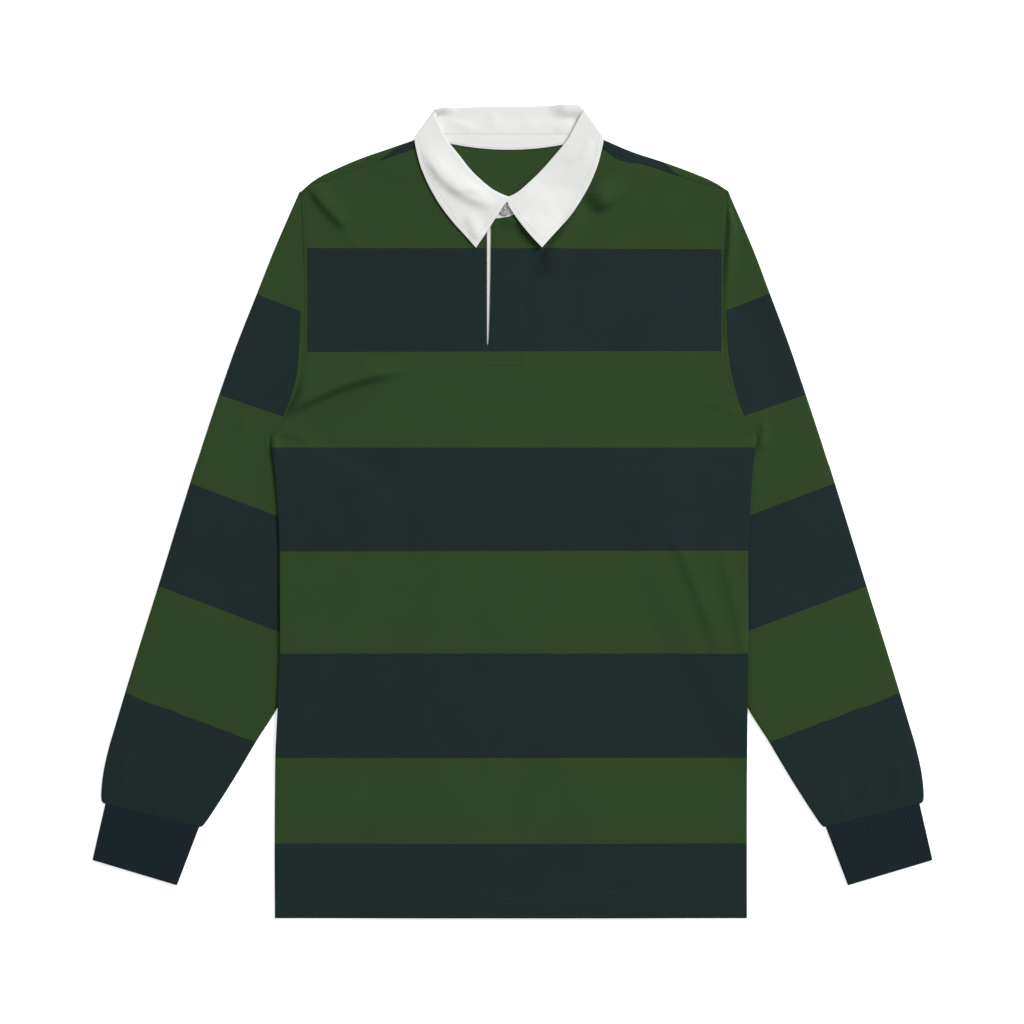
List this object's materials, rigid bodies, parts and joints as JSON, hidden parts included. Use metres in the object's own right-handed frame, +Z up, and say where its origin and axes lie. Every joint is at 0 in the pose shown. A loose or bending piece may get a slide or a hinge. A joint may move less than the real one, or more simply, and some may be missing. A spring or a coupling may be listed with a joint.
{
  "type": "polo shirt",
  "caption": "Long-sleeved polo shirt in broad stripes with a turned-down collar, concealed placket and ribbed cuffs, laid flat face up.",
  "frame": {"origin": "middle of the shirt's outline, on the surface that it lies on", "axes": "+X towards the wearer's left sleeve, +Y towards the collar, +Z up off the surface, out of the shirt's front"},
  "size_m": [0.8396, 0.812, 0.0102],
  "materials": {
    "jersey_body": "heavy cotton jersey in broad dark green and navy stripes",
    "jersey_sleeve": "heavy cotton jersey in broad navy and dark green stripes",
    "rib_cuff": "navy ribbed knit",
    "collar_twill": "white cotton twill",
    "white_tape": "white cotton tape",
    "button": "pearly polyester button"
  },
  "bodies": {
    "root": {"back_panel": "jersey_body", "front_panel": "jersey_body", "placket_facing": "white_tape", "sleeve_right": "jersey_sleeve", "sleeve_left": "jersey_sleeve", "cuff_right": "rib_cuff", "cuff_left": "rib_cuff", "collar_fall": "collar_twill", "collar_stand": "collar_twill", "neck_tape": "white_tape", "button_neck": "button"}
  },
  "joints": []
}
